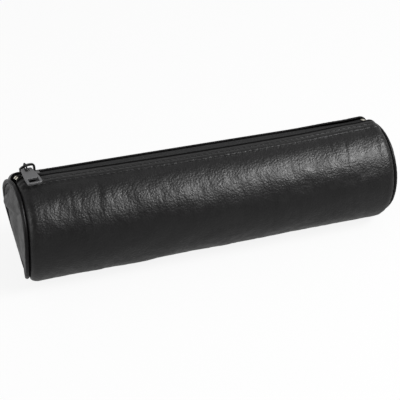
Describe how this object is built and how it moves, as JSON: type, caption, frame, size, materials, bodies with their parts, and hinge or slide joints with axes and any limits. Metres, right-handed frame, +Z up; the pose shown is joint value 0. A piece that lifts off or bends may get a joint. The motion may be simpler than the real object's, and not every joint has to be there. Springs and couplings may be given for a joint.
{
  "type": "fountain pen case",
  "caption": "Round zip case of soft black leather for fountain pens, with welted leather ends, a lining, and a reverse coil zip whose slider runs the length of the case.",
  "frame": {"origin": "on the floor under the middle of the case, at the middle of the flat that it rests on", "axes": "+X along the case from the end where the zip is closed to the end where it opens fully, +Z up, -Y to the front, where the pull hangs"},
  "size_m": [0.22, 0.06, 0.0644],
  "materials": {
    "leather": "satin",
    "welt_leather": "satin",
    "lining": "matte",
    "zip_cloth": "matte",
    "coil": "satin",
    "cord": "matte",
    "stop_metal": "satin",
    "slider_metal": "satin",
    "tab_metal": "satin"
  },
  "bodies": {
    "case": {"body_panel": "leather", "body_lining": "lining", "left_end_disc": "leather", "right_end_disc": "leather", "left_end_lining": "lining", "right_end_lining": "lining", "left_welt": "welt_leather", "right_welt": "welt_leather", "left_welt_cord": "cord", "right_welt_cord": "cord", "left_seam_binding": "zip_cloth", "right_seam_binding": "zip_cloth", "front_zip_tape": "zip_cloth", "rear_zip_tape": "zip_cloth", "front_zip_coil": "coil", "rear_zip_coil": "coil", "front_top_stop": "stop_metal", "rear_top_stop": "stop_metal", "bottom_stop": "stop_metal"},
    "slider": {"slider_body": "slider_metal"},
    "link": {"pull_link": "slider_metal"},
    "tab": {"pull_tab": "tab_metal"}
  },
  "joints": [
    {"name": "slider_slide", "type": "slide", "parent": "case", "child": "slider", "axis": [1, 0, 0], "range_m": [0, 0.1958], "deforming": ["front_zip_tape", "rear_zip_tape", "front_zip_coil", "rear_zip_coil"]},
    {"name": "link_swing", "type": "hinge", "parent": "slider", "child": "link", "pos_m": [-0.1017, 0.00803, 0.06207], "axis": [-0.9945, -0.1016, 0.0244], "range_deg": [-3, 214]},
    {"name": "tab_flex", "type": "hinge", "parent": "link", "child": "tab", "pos_m": [-0.10148, 0.00574, 0.06139], "axis": [-0.9945, -0.1016, 0.0244], "range_deg": [-6, 6]}
  ]
}
